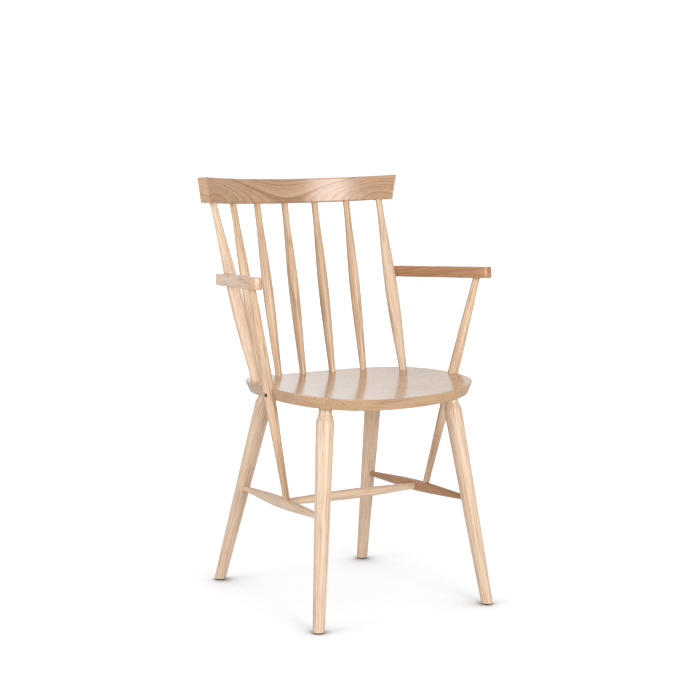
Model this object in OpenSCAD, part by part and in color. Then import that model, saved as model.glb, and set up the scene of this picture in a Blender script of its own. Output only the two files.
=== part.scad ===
// Spindle-back armchair in turned beech, with bent armrests on long arm posts.
// The chair faces -Y, +X is the sitter's left, and the floor is z = 0.
// Plan positions are worked out from the seat's widest line (y = 0), and every piece is then
// moved by centre_y, so that the origin lies on the floor under the middle of the chair.

/* [Seat] */
// Height of the seat's top face above the floor, on its centre line
seat_h = 439; // [400:1:480]
// Width of the seat across its widest line
seat_w = 436; // [360:2:530]
// Distance from the widest line to the front edge
seat_front = 172; // [155:1:200]
// Distance from the widest line to the back edge
seat_back = 252; // [230:1:300]
// Thickness of the seat board
seat_t = 23; // [20:1:28]
// Radius of the seat's dish, curved from side to side
dish_r = 1440; // [1200:10:2400]
// How far the slanted edge runs in under the seat
seat_bevel = 10; // [4:1:16]
// Squareness of the front half of the outline, where 2 is an ellipse
front_power = 3.2; // [2.4:0.05:3.8]
// Squareness of the back half of the outline
back_power = 2.25; // [2:0.05:2.6]

/* [Legs] */
// Diameter of each foot
foot_d = 23; // [20:0.5:28]
// Diameter at the shoulder, the thickest place of a leg
shoulder_d = 36; // [30:0.5:42]
// Diameter of the neck that goes into the seat
neck_d = 26.5; // [21:0.5:30]
// Length of the straight neck that shows below the seat
neck_len = 8; // [2:1:12]
// Length of the curve from the neck down to the shoulder
shoulder_len = 23; // [16:1:30]
// Depth of the blind bore for each leg
leg_bore = 15; // [11:1:16]
// How far each front leg joins the seat inside the seat's side
front_inset_x = 72; // [60:1:90]
// How far each front leg joins the seat behind the front edge
front_inset_y = 61; // [48:1:80]
// How far each rear leg joins the seat inside the seat's side
rear_inset_x = 87; // [70:1:105]
// How far each rear leg joins the seat ahead of the back edge
rear_inset_y = 97; // [80:1:120]
// How far each front foot stands outside its joint with the seat
front_splay = 52; // [30:1:70]
// How far each front foot stands ahead of its joint with the seat
front_rake = 61; // [30:1:80]
// How far each rear foot stands outside its joint with the seat
rear_splay = 48; // [30:1:70]
// How far each rear foot stands behind its joint with the seat
rear_rake = 129; // [80:1:155]

/* [Stretchers] */
// Height of the side stretchers' centre line at the front legs
stretcher_front_h = 215.5; // [180:0.5:260]
// Height of the side stretchers' centre line at the rear legs
stretcher_rear_h = 209; // [170:1:250]
// Diameter of a side stretcher where it enters a leg
side_end_d = 11.5; // [9:0.5:15]
// Diameter of a side stretcher at its middle
side_mid_d = 23; // [20:0.5:28]
// Diameter of the cross stretcher where it enters the side stretchers
cross_end_d = 13; // [10:0.5:16]
// Diameter of the cross stretcher at its middle
cross_mid_d = 21; // [18:0.5:26]
// How far the cross stretcher lies behind the seat's widest line
cross_back = 34; // [0:1:60]
// How far a tenon runs past the centre line of the leg or stretcher that holds it
tenon_past = 1.5; // [0:0.5:3]

/* [Back] */
// Height of the crest rail's underside above the floor, at its middle
crest_h = 800; // [740:1:960]
// How far the crest rail's middle stands behind the foot of the centre spindle
back_rake = 80; // [50:1:110]
// Plan radius of the crest rail's centre line
crest_r = 369.5; // [320:0.5:440]
// Width between the lower front corners of the crest rail's ends
crest_w = 441; // [430:1:530]
// Thickness of the crest rail, front to back
crest_t = 21; // [19:0.5:25]
// Height of the crest rail's face
crest_face = 52; // [44:0.5:66]
// Angle that the crest rail leans back
crest_lean = 5.7; // [0:0.1:10]
// Slant of the crest rail's ends, wider at the top
crest_slant = 11.5; // [0:0.5:16]
// Radius of the crest rail's long edges
crest_edge_r = 2.5; // [1:0.5:4]
// Angle between neighbouring spindles, seen along the crest rail's arc
crest_pitch = 11.05; // [9:0.05:11.4]
// Angle between neighbouring spindles, seen along their arc on the seat
seat_pitch = 20; // [16:0.5:21]
// Angle of the two back posts on the seat's arc
post_angle = 67.5; // [60:0.5:72]
// How far the centre spindle stands ahead of the seat's back edge
spindle_inset = 18; // [16:1:35]
// How far each back post stands inside the seat's side
post_inset = 40; // [34:1:55]
// Depth of the blind bores in the crest rail
crest_bore = 14; // [10:1:18]
// Depth of the blind bores in the seat for the spindles and back posts
spindle_bore = 16; // [10:1:17]
// Diameter of a spindle at the crest rail
spindle_top_d = 14.5; // [11:0.5:15]
// Diameter of a spindle at its thickest
spindle_mid_d = 22.5; // [18:0.5:27]
// Diameter of a spindle at the seat
spindle_foot_d = 14.5; // [12:0.5:17]
// Diameter of a back post at its thickest
post_mid_d = 28; // [23:0.5:32]
// Diameter of a back post at the seat
post_foot_d = 17; // [14:0.5:20]

/* [Arms] */
// Height of an armrest's underside above the floor, at its arm post
arm_h = 652; // [600:1:720]
// Angle that an armrest rises towards its front
arm_tilt = 2.5; // [0:0.5:5]
// Width of an armrest
arm_w = 26; // [22:0.5:32]
// Thickness of an armrest
arm_t = 23; // [20:0.5:30]
// Radius of an armrest's front corners, seen from above
arm_corner_r = 10; // [4:0.5:11]
// How far an armrest runs past the centre of its arm post
arm_over = 36; // [24:1:45]
// How far an armrest's rear end stops ahead of the back post's centre
arm_setback = 2.5; // [1.5:0.5:8]
// How deep the back post is let into the armrest
arm_notch = 5; // [3.5:0.5:9]
// Depth of the blind bore in an armrest for its arm post
arm_bore = 15; // [10:1:17]
// Diameter of an arm post at the armrest
arm_post_top_d = 15; // [12:0.5:18]
// Diameter of an arm post at the seat, its thickest place
arm_post_mid_d = 22.5; // [19:0.5:27]
// Diameter of an arm post at the side stretcher
arm_post_foot_d = 13.5; // [11:0.5:16]
// How far the arm posts pass the seat ahead of its widest line
arm_post_ahead = 14; // [0:1:40]
// How far the arm posts' centre lines pass outside the seat's edge
arm_post_proud = 1; // [0:0.5:3]
// How far the arm posts enter the side stretchers ahead of the cross stretcher
arm_post_gap = 25; // [22:1:40]

/* [Fixings] */
// Clearance round every glued tenon and dowel
glue_gap = 0.05; // [0.02:0.01:0.15]
// Clearance round each arm post in the seat's notch
notch_gap = 0.3; // [0.1:0.1:0.6]
// Height of the screw through each arm post below the seat's top edge there
screw_drop = 14; // [11:1:16]
// Angle that the screw turns towards the front of the chair
screw_turn = 20; // [0:1:35]
// Diameter of the counterbore in the arm post
screw_sink_d = 8.5; // [8:0.5:10]
// Distance from the arm post's centre line out to the counterbore's floor
screw_floor = 2; // [1:0.5:4]
// Diameter of the screw's head
screw_head_d = 7.5; // [6:0.5:7.5]
// Thickness of the screw's head
screw_head_t = 2.8; // [2:0.1:3.5]
// Diameter of the screw's shank
screw_d = 4; // [3.5:0.1:5]
// Length of the screw below its head
screw_len = 34; // [28:1:40]
// Diameter of the dowel between a back post and its armrest
dowel_d = 8; // [6:0.5:8.5]
// Length of that dowel
dowel_len = 24; // [20:1:26]
// Distance from the back post's centre line to the dowel's inner end
dowel_start = 4; // [2:0.5:6]
// Distance from the armrest's rear end to where the dowel crosses its centre line
dowel_aim = 14; // [11:0.5:18]
// Diameter of the foot glides
glide_d = 19; // [16:0.5:22]
// Thickness of the foot glides
glide_t = 3; // [2:0.5:5]
// Diameter of the nail in each glide
glide_nail_d = 3; // [2:0.5:4]
// Length of the nail in each glide
glide_nail_len = 14; // [10:1:18]

/* [Hidden] */

$fn = 72;
big_fn = 720;
turn_steps = 14;
rim_steps = 120;
past = 1;
swell_power = 1.25;
leg_power = 0.95;
stick_foot = 3;

pale_beech = [0.88, 0.78, 0.67];
seat_beech = [0.85, 0.77, 0.68];
warm_beech = [0.80, 0.65, 0.50];
zinc = [0.62, 0.60, 0.56];
felt_brown = [0.22, 0.19, 0.17];

left = 1;
right = -1;
front = 0;
rear = 1;

function blend(p, q, t) = p + (q - p) * t;
function at_height(p, q, z) = blend(p, q, (z - p[2]) / (q[2] - p[2]));
function at_depth(p, q, y) = blend(p, q, (y - p[1]) / (q[1] - p[1]));
function unit(v) = v / norm(v);
function beyond(p, q, d) = q + unit(q - p) * d;
function swell(s) = sin(90 * pow(s, swell_power));
function ease(s) = (1 - cos(180 * s)) / 2;

// The dish: the height of the seat's top face, and of its underside, at a distance x from the centre line.
function seat_top(x) = seat_h + dish_r - sqrt(pow(dish_r, 2) - x * x);
function seat_under(x) = seat_h + dish_r - sqrt(pow(dish_r + seat_t, 2) - x * x);

// The outline: two half superellipses that meet on the widest line.
function half_depth(a) = sin(a) < 0 ? seat_front : seat_back;
function rim_power(a) = sin(a) < 0 ? front_power : back_power;
function signed_power(v, p) = sign(v) * pow(abs(v), p);
function rim_point(a) = [
    seat_w / 2 * signed_power(cos(a), 2 / rim_power(a)),
    half_depth(a) * signed_power(sin(a), 2 / rim_power(a))
];
function rim_normal(a) = unit([
    signed_power(cos(a), 2 - 2 / rim_power(a)) / (seat_w / 2),
    signed_power(sin(a), 2 - 2 / rim_power(a)) / half_depth(a)
]);
function rim_half_width(y) =
    let(power = y < 0 ? front_power : back_power, depth = y < 0 ? seat_front : seat_back)
    seat_w / 2 * pow(1 - pow(abs(y) / depth, power), 1 / power);
function rim_at(a, lift) =
    let(p = rim_point(a), q = p + rim_normal(a) * seat_bevel * lift / seat_t)
    [q[0], q[1], seat_top(p[0]) + lift];

// Legs, on the sitter's left: where the centre line meets the floor, and where it enters the seat.
leg_joint = [
    [seat_w / 2 - front_inset_x, front_inset_y - seat_front, seat_under(seat_w / 2 - front_inset_x)],
    [seat_w / 2 - rear_inset_x, seat_back - rear_inset_y, seat_under(seat_w / 2 - rear_inset_x)]
];
leg_foot = [
    [leg_joint[front][0] + front_splay, leg_joint[front][1] - front_rake, 0],
    [leg_joint[rear][0] + rear_splay, leg_joint[rear][1] + rear_rake, 0]
];

// Stretchers, on the sitter's left.
side_front = at_height(leg_foot[front], leg_joint[front], stretcher_front_h);
side_rear = at_height(leg_foot[rear], leg_joint[rear], stretcher_rear_h);
cross_joint = at_depth(side_rear, side_front, cross_back);
arm_post_foot = at_depth(side_rear, side_front, cross_back - arm_post_gap);

// Back posts and spindles stand on an arc of the seat and end in the crest rail's own arc.
base_r = (seat_w / 2 - post_inset) / sin(post_angle);
base_y = seat_back - spindle_inset - base_r;
crest_y = seat_back - spindle_inset + back_rake;
crest_half_angle = asin(crest_w / 2 / (crest_r - crest_t / 2));
function base_point(a) =
    [base_r * sin(a), base_y + base_r * cos(a), seat_top(base_r * sin(a))];
function crest_point(a, up) =
    let(back = crest_r * cos(a) - crest_r)
    [
        crest_r * sin(a),
        crest_y + back * cos(crest_lean) + up * sin(crest_lean),
        crest_h - back * sin(crest_lean) + up * cos(crest_lean)
    ];
function stick_top(i) = crest_point(i * crest_pitch, crest_bore / 2);
post_base = base_point(post_angle);
post_top = stick_top(3);

// Arm posts run in a straight line from the side stretcher, past the seat's edge, to the armrest.
notch_x = rim_half_width(-arm_post_ahead) + arm_post_proud;
arm_post_seat = [notch_x, -arm_post_ahead, seat_top(notch_x)];
arm_post_top = at_height(arm_post_foot, arm_post_seat, arm_h);
arm_post_len = norm(arm_post_top - arm_post_foot);
arm_post_mid = norm(arm_post_seat - arm_post_foot) / arm_post_len;

// Armrests lie against the outer side of the back posts and over the arm posts.
post_at_arm = at_height(post_base, post_top, arm_h);
post_len = norm(post_top - post_base);
post_peak = 0.42;
post_slim = 0.91;
post_arm_share = norm(post_at_arm - post_base) / post_len;
post_arm_r = blend(spindle_top_d, post_mid_d, swell((post_slim - post_arm_share) / (post_slim - post_peak))) / 2;
arm_offset = arm_w / 2 + post_arm_r - arm_notch;
arm_reach = [arm_post_top[0] - post_at_arm[0], arm_post_top[1] - post_at_arm[1]];
arm_flare = atan2(arm_reach[0], -arm_reach[1]) - asin(arm_offset / norm(arm_reach));
arm_rear_run = sqrt(pow(norm(arm_reach), 2) - pow(arm_offset, 2)) - arm_setback;
arm_len = (arm_rear_run + arm_over) / cos(arm_tilt);

// Screws through the arm posts into the seat's edge.
screw_mid = at_height(arm_post_foot, arm_post_seat, arm_post_seat[2] - screw_drop);
screw_dir = [cos(screw_turn), -sin(screw_turn), 0];

// The middle of the chair, front to back.
foot_reach = foot_d / 2 * norm([1, front_rake / leg_joint[front][2]]);
chair_front = min(-seat_front, leg_foot[front][1] - foot_reach);
chair_back = crest_point(0, crest_face - crest_edge_r)[1] + (crest_t / 2 - crest_edge_r) * cos(crest_lean)
    + crest_edge_r;
centre_y = -(chair_front + chair_back) / 2;

// Moves a piece from the seat's own position to the chair's origin.
module placed() {
    translate([0, centre_y, 0]) children();
}

// Pieces are shaped on the sitter's left and mirrored to the right.
module on_side(side) {
    mirror([side == right ? 1 : 0, 0, 0]) children();
}

// Sets a piece that stands along +Z on the line from p towards q, with no twist about that line.
module aimed(p, q) {
    way = unit(q - p);
    turn = atan2(way[1], way[0]);
    translate(p) rotate([0, acos(way[2]), turn]) rotate([0, 0, -turn]) children();
}

// A turned piece from half diameters and heights, with the same extra radius all along.
module turned(outline, grow = 0) {
    first = outline[0];
    last = outline[len(outline) - 1];
    sides = [for (p = outline) [p[0] + grow, p[1]]];
    rotate_extrude() polygon(concat([[0, first[1]]], sides, [[0, last[1]]]));
}

// A straight round bore or rod along the line from p to q.
module rod(p, q, d) {
    aimed(p, q) cylinder(d = d, h = norm(q - p));
}

// The outline of a stick that is straight at its ends and swells between them to its thickest place.
function stick_outline(length, peak, slim, d_foot, d_mid, d_top, below, above, straight, power = 1) = concat(
    [[d_foot / 2, -below]],
    [for (i = [0 : turn_steps])
        [blend(d_foot, d_mid, swell(pow(i / turn_steps, power))) / 2,
            blend(straight, length * peak, i / turn_steps)]],
    [for (i = [turn_steps - 1 : -1 : 0])
        [blend(d_top, d_mid, swell(i / turn_steps)) / 2,
            blend(min(length * slim, length - straight), length * peak, i / turn_steps)]],
    [[d_top / 2, length + above]]
);

function leg_outline(length) =
    let(neck = length - neck_len, shoulder = neck - shoulder_len)
    concat(
        [[foot_d / 2, -glide_t - past]],
        [for (i = [0 : turn_steps])
            [blend(foot_d, shoulder_d, pow(i / turn_steps, leg_power)) / 2, shoulder * i / turn_steps]],
        [for (i = [1 : turn_steps])
            [blend(shoulder_d, neck_d, ease(i / turn_steps)) / 2, blend(shoulder, neck, i / turn_steps)]],
        [[neck_d / 2, length + leg_bore]]
    );

module leg_blank(row) {
    length = norm(leg_joint[row] - leg_foot[row]);
    aimed(leg_foot[row], leg_joint[row]) turned(leg_outline(length));
}

module side_stretcher_blank() {
    length = norm(side_front - side_rear);
    aimed(side_rear, side_front)
        turned(stick_outline(length, 0.5, 1, side_end_d, side_mid_d, side_end_d, tenon_past, tenon_past,
            shoulder_d / 2));
}

module stick_blank(base, top, peak, slim, d_foot, d_mid, grow = 0) {
    outline = stick_outline(norm(top - base), peak, slim, d_foot, d_mid, spindle_top_d,
        spindle_bore, crest_bore / 2, stick_foot);
    aimed(base, top) turned(outline, grow);
}

module back_post_blank(grow = 0) {
    stick_blank(post_base, post_top, post_peak, post_slim, post_foot_d, post_mid_d, grow);
}

module arm_post_blank(grow = 0) {
    outline = stick_outline(arm_post_len, arm_post_mid, 1, arm_post_foot_d, arm_post_mid_d, arm_post_top_d,
        tenon_past, arm_bore, 0, 1.3);
    aimed(arm_post_foot, arm_post_top) turned(outline, grow);
}

// The seat's edge as a solid that passes both faces, with its wall on the slant of the bevel.
module rim_blank() {
    spare = 8;
    angles = [for (i = [0 : rim_steps - 1]) 360 * i / rim_steps];
    lower = [for (a = angles) rim_at(a, -seat_t - spare)];
    upper = [for (a = angles) rim_at(a, spare)];
    tips = [[0, 0, seat_h - seat_t - 4 * spare], [0, 0, seat_h + 8 * spare]];
    polyhedron(
        points = concat(lower, upper, tips),
        faces = [for (i = [0 : rim_steps - 1]) let(j = (i + 1) % rim_steps) each [
            [i, i + rim_steps, j + rim_steps],
            [i, j + rim_steps, j],
            [2 * rim_steps, i, j],
            [2 * rim_steps + 1, j + rim_steps, i + rim_steps]
        ]]
    );
}

module dish_cylinder(r) {
    translate([0, 0, seat_h + dish_r]) rotate([90, 0, 0])
        cylinder(r = r, h = 2 * (seat_front + seat_back), center = true, $fn = big_fn);
}

module seat() {
    color(seat_beech) placed() difference() {
        intersection() {
            rim_blank();
            dish_cylinder(dish_r + seat_t);
        }
        dish_cylinder(dish_r);
        for (a = [-2 : 2]) stick_bore(base_point(a * seat_pitch), stick_top(a), spindle_foot_d);
        for (side = [left, right]) on_side(side) {
            stick_bore(post_base, post_top, post_foot_d);
            for (row = [front, rear]) leg_bore_cut(row);
            arm_post_blank(notch_gap);
            screw_shank(glue_gap);
        }
    }
}

module stick_bore(base, top, d) {
    rod(beyond(top, base, spindle_bore + glue_gap), beyond(base, base + (top - base) / 8, 0), d + 2 * glue_gap);
}

module leg_bore_cut(row) {
    foot = leg_foot[row];
    joint = leg_joint[row];
    rod(blend(joint, foot, 0.1), beyond(foot, joint, leg_bore + glue_gap), neck_d + 2 * glue_gap);
}

module leg(row, side) {
    color(pale_beech) placed() on_side(side) difference() {
        leg_blank(row);
        translate([0, 0, glide_t - 50]) linear_extrude(50) square(4 * seat_w, center = true);
        leg_stretcher_bore(row);
        glide_nail(row, glue_gap);
    }
}

module leg_stretcher_bore(row) {
    own = row == front ? side_front : side_rear;
    other = row == front ? side_rear : side_front;
    rod(beyond(other, own, tenon_past + glue_gap), blend(own, other, 0.1), side_end_d + 2 * glue_gap);
}

module side_stretcher(side) {
    color(pale_beech) placed() on_side(side) difference() {
        side_stretcher_blank();
        rod(cross_joint + [tenon_past + glue_gap, 0, 0], cross_joint - [side_mid_d, 0, 0],
            cross_end_d + 2 * glue_gap);
        rod(beyond(arm_post_top, arm_post_foot, tenon_past + glue_gap), blend(arm_post_foot, arm_post_top, 0.08),
            arm_post_foot_d + 2 * glue_gap);
    }
}

module cross_stretcher() {
    ends = [[-cross_joint[0], cross_joint[1], cross_joint[2]], cross_joint];
    color(pale_beech) placed() aimed(ends[0], ends[1])
        turned(stick_outline(norm(ends[1] - ends[0]), 0.5, 1, cross_end_d, cross_mid_d, cross_end_d,
            tenon_past, tenon_past, side_mid_d / 2));
}

module back_post(side) {
    color(pale_beech) placed() on_side(side) difference() {
        back_post_blank();
        armrest_dowel(glue_gap);
    }
}

module spindle(i) {
    color(pale_beech) placed()
        stick_blank(base_point(i * seat_pitch), stick_top(i), 0.48, 0.88, spindle_foot_d, spindle_mid_d);
}

// The crest rail's arc in its own leaning frame, with rounded long edges.
module crest_arc() {
    r = crest_edge_r;
    rotate([0, 0, 45]) rotate_extrude(angle = 90, $fn = big_fn)
        translate([crest_r - crest_t / 2, 0]) {
            translate([0, r]) square([crest_t, crest_face - 2 * r]);
            translate([r, 0]) square([crest_t - 2 * r, crest_face]);
            for (x = [r, crest_t - r], z = [r, crest_face - r]) translate([x, z]) circle(r);
        }
}

module crest_end_cut() {
    rotate([0, 0, 90 - crest_half_angle]) rotate([crest_slant, 0, 0])
        translate([0, -2 * crest_face, -crest_face]) cube([2 * crest_r, 2 * crest_face, 3 * crest_face]);
}

module crest_rail() {
    color(warm_beech) placed() difference() {
        translate([0, crest_y, crest_h]) rotate([-crest_lean, 0, 0]) translate([0, -crest_r, 0])
            difference() {
                crest_arc();
                for (side = [left, right]) on_side(side) crest_end_cut();
            }
        for (i = [-3 : 3]) crest_bore_cut(i);
    }
}

module crest_bore_cut(i) {
    base = base_point(sign(i) * (abs(i) == 3 ? post_angle : abs(i) * seat_pitch));
    top = stick_top(i);
    rod(blend(top, base, 0.1), beyond(base, top, crest_bore / 2 + glue_gap), spindle_top_d + 2 * glue_gap);
}

// An armrest's frame: the middle of the rear end's lower edge, +X to the front, +Y outwards.
module arm_frame() {
    translate(arm_post_top) rotate([0, 0, arm_flare - 90]) rotate([0, -arm_tilt, 0])
        translate([arm_over / cos(arm_tilt) - arm_len, 0, 0]) children();
}

module armrest_outline() {
    r = arm_corner_r;
    translate([0, -arm_w / 2]) square([arm_len - r, arm_w]);
    translate([arm_len - 2 * r, r - arm_w / 2]) square([2 * r, arm_w - 2 * r]);
    for (side = [left, right]) translate([arm_len - r, side * (arm_w / 2 - r)]) circle(r);
}

module armrest(side) {
    color(warm_beech) placed() on_side(side) difference() {
        arm_frame() linear_extrude(arm_t) armrest_outline();
        back_post_blank(glue_gap);
        rod(blend(arm_post_top, arm_post_foot, 0.1), beyond(arm_post_foot, arm_post_top, arm_bore + glue_gap),
            arm_post_top_d + 2 * glue_gap);
        armrest_dowel(glue_gap);
    }
}

module arm_post(side) {
    color(pale_beech) placed() on_side(side) difference() {
        arm_post_blank();
        rod(screw_mid + screw_dir * screw_floor, screw_mid + screw_dir * arm_post_mid_d, screw_sink_d);
        screw_shank(notch_gap);
    }
}

module screw_shank(gap) {
    rod(screw_mid + screw_dir * (screw_floor - screw_len - gap), screw_mid + screw_dir * (screw_floor + gap),
        screw_d + 2 * gap);
}

module screw() {
    slot = [1, screw_head_d * 0.6, screw_head_t];
    floor_point = screw_mid + screw_dir * screw_floor;
    aimed(floor_point, floor_point + screw_dir) difference() {
        union() {
            cylinder(d = screw_head_d, h = screw_head_t);
            translate([0, 0, -screw_len]) cylinder(d = screw_d, h = screw_len + screw_head_t / 4);
        }
        for (turn = [0, 90]) rotate([0, 0, turn])
            translate([-slot[0] / 2, -slot[1] / 2, screw_head_t / 2]) cube(slot);
    }
}

module arm_post_screws() {
    color(zinc) placed() for (side = [left, right]) on_side(side) screw();
}

// The dowel runs from the back post, level, to the armrest's centre line.
dowel_from = at_height(post_base, post_top, arm_h - arm_rear_run * tan(arm_tilt) + arm_t / 2);
dowel_to = [
    arm_post_top[0] - (arm_rear_run - dowel_aim) * sin(arm_flare),
    arm_post_top[1] + (arm_rear_run - dowel_aim) * cos(arm_flare),
    dowel_from[2]
];
module armrest_dowel(gap) {
    rod(beyond(dowel_to, dowel_from, gap - dowel_start), beyond(dowel_to, dowel_from, -dowel_start - dowel_len - gap),
        dowel_d + 2 * gap);
}

module armrest_dowels() {
    color(pale_beech) placed() for (side = [left, right]) on_side(side) armrest_dowel(0);
}

// The glides' nails follow the legs' centre lines.
module glide_nail(row, gap) {
    tip = beyond(leg_joint[row], leg_foot[row], -glide_t - glide_nail_len - gap);
    rod(blend(leg_foot[row], tip, 0.1), tip, glide_nail_d + 2 * gap);
}

module foot_glide(row, side) {
    sole = at_height(leg_foot[row], leg_joint[row], glide_t / 2);
    color(felt_brown) placed() on_side(side) {
        translate([sole[0], sole[1], 0]) cylinder(d = glide_d, h = glide_t);
        glide_nail(row, 0);
    }
}

seat();
leg(front, left);  // leg_front_left
leg(front, right);  // leg_front_right
leg(rear, left);  // leg_rear_left
leg(rear, right);  // leg_rear_right
side_stretcher(left);  // side_stretcher_left
side_stretcher(right);  // side_stretcher_right
cross_stretcher();
back_post(left);  // back_post_left
back_post(right);  // back_post_right
spindle(2);  // spindle_far_left
spindle(1);  // spindle_near_left
spindle(0);  // spindle_centre
spindle(-1);  // spindle_near_right
spindle(-2);  // spindle_far_right
crest_rail();
arm_post(left);  // arm_post_left
arm_post(right);  // arm_post_right
armrest(left);  // armrest_left
armrest(right);  // armrest_right
arm_post_screws();
armrest_dowels();
foot_glide(front, left);  // foot_glide_front_left
foot_glide(front, right);  // foot_glide_front_right
foot_glide(rear, left);  // foot_glide_rear_left
foot_glide(rear, right);  // foot_glide_rear_right
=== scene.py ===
"""Looks of the spindle-back beech armchair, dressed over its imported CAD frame.

Turned pieces are lathed again from the frame's own solids by a Geometry Nodes tree, the seat and
the armrests get eased edges, and every piece wears a clear-lacquered beech with its own run of grain.
"""

from __future__ import annotations

import logging
import math
from dataclasses import dataclass, field, replace
from enum import Enum

import bmesh
import bpy
import numpy as np
from mathutils import Matrix, Vector


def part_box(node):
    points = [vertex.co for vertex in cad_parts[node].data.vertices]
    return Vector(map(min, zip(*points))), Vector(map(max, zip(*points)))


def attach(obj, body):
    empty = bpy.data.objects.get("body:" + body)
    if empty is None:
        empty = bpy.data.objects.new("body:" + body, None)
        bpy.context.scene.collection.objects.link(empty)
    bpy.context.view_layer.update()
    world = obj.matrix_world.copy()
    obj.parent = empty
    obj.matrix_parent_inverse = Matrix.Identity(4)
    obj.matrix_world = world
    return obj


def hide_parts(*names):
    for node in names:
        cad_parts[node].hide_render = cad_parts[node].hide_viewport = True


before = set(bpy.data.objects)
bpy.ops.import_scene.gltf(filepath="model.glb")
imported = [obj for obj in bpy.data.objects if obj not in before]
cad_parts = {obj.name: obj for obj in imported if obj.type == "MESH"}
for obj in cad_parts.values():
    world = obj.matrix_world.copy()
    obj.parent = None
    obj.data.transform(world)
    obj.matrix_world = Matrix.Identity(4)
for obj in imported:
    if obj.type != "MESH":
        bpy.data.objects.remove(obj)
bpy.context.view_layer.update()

LOG = logging.getLogger("armchair")
BODY = "root"
MM = 0.001
NO_SOLE = -10.0  # a sole height far below the floor, for pieces that don't stand on one

Colour = tuple[float, float, float]
Pair = tuple[float, float]


class Side(Enum):
    """The sitter's sides, each with the sign of its X axis."""

    LEFT = 1.0
    RIGHT = -1.0

    @property
    def word(self) -> str:
        """Gives the side's word in a node's name."""
        return self.name.lower()


def srgb(red: int, green: int, blue: int) -> tuple[float, float, float, float]:
    """Turns a colour as seen on a screen into the renderer's linear values.

    Args:
        red: Red, 0 to 255.
        green: Green, 0 to 255.
        blue: Blue, 0 to 255.

    Returns:
        The linear colour with full opacity.
    """
    linear = [
        c / 255 / 12.92 if c <= 10 else ((c / 255 + 0.055) / 1.055) ** 2.4 for c in (red, green, blue)
    ]
    return (linear[0], linear[1], linear[2], 1.0)


# ---------------------------------------------------------------- node trees


class Graph:
    """A short way to write node trees, for materials and for geometry."""

    def __init__(self, tree: bpy.types.NodeTree) -> None:
        """Keeps the tree and empties it."""
        self.tree = tree
        tree.nodes.clear()

    def add(self, kind: str, inputs: dict[str | int, object] | None = None, **settings: object) -> bpy.types.Node:
        """Adds a node.

        Args:
            kind: The node's type name.
            inputs: Values or output sockets for its inputs, by name or by position.
            settings: Properties of the node.

        Returns:
            The new node.
        """
        node = self.tree.nodes.new(kind)
        for name, value in settings.items():
            setattr(node, name, value)
        for key, value in (inputs or {}).items():
            if isinstance(value, bpy.types.NodeSocket):
                self.tree.links.new(value, node.inputs[key])
            else:
                node.inputs[key].default_value = value
        return node

    def math(self, operation: str, *values: object, clamp: bool = False) -> bpy.types.NodeSocket:
        """Adds a Math node.

        Args:
            operation: The node's operation.
            values: Its inputs, in order.
            clamp: Whether the result stays between 0 and 1.

        Returns:
            The result's socket.
        """
        node = self.add("ShaderNodeMath", dict(enumerate(values)), operation=operation, use_clamp=clamp)
        return node.outputs[0]

    def vector(self, operation: str, *values: object) -> bpy.types.NodeSocket:
        """Adds a Vector Math node and returns its result."""
        node = self.add("ShaderNodeVectorMath", dict(enumerate(values)), operation=operation)
        return node.outputs["Value" if operation in ("LENGTH", "DOT_PRODUCT", "DISTANCE") else "Vector"]

    def noise(
        self, coords: object, scale: float, detail: float = 2.0, roughness: float = 0.5
    ) -> bpy.types.NodeSocket:
        """Adds a Noise Texture and returns its factor.

        Args:
            coords: The coordinates' socket.
            scale: Features per metre.
            detail: Octaves.
            roughness: Weight of the fine octaves.

        Returns:
            The factor's socket.
        """
        node = self.add(
            "ShaderNodeTexNoise",
            {"Vector": coords, "Scale": scale, "Detail": detail, "Roughness": roughness},
        )
        return node.outputs[0]

    def spread(
        self, value: object, low: float, high: float, to_low: float = 0.0, to_high: float = 1.0
    ) -> bpy.types.NodeSocket:
        """Stretches a range of values over another one, clamped and eased.

        Args:
            value: The socket to stretch.
            low: The value that becomes to_low.
            high: The value that becomes to_high.
            to_low: Result at low.
            to_high: Result at high.

        Returns:
            The result's socket.
        """
        node = self.add(
            "ShaderNodeMapRange",
            {0: value, 1: low, 2: high, 3: to_low, 4: to_high},
            interpolation_type="SMOOTHSTEP",
        )
        return node.outputs[0]

    def blend(self, factor: object, first: object, second: object, mode: str = "MIX") -> bpy.types.NodeSocket:
        """Mixes two colours.

        Args:
            factor: Share of the second colour.
            first: The first colour.
            second: The second colour.
            mode: The blend mode.

        Returns:
            The mixed colour's socket.
        """
        node = self.add("ShaderNodeMix", {0: factor, 6: first, 7: second}, data_type="RGBA", blend_type=mode)
        return node.outputs[2]


# ---------------------------------------------------------------- finishes

# Each layer of the grain: features per metre across it, and how they are squeezed along it.
FIBRES = (1500.0, 0.035)
LINES = (460.0, 0.018)
STREAKS = (210.0, 0.05)
BROAD_BANDS = (38.0, 0.12)
WANDER = (14.0, 0.3)
FLECK_CELLS = (620.0, 0.16)
FLECK_PATCHES = 420.0


@dataclass(frozen=True)
class Grain:
    """Where one piece's grain lies: a point on its axis, the way it runs and the side its rings come from.

    The texture's Z axis is the way of the grain.
    """

    point: Vector
    way: Vector
    spin: float = 0.0

    def placement(self) -> tuple[Vector, Vector]:
        """Works out the Mapping node's location and rotation.

        Returns:
            The location and the Euler angles.
        """
        turn = self.way.to_track_quat("Z", "Y").to_matrix() @ Matrix.Rotation(self.spin, 3, "Z")
        return self.point, Vector(turn.to_euler("XYZ"))


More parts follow.
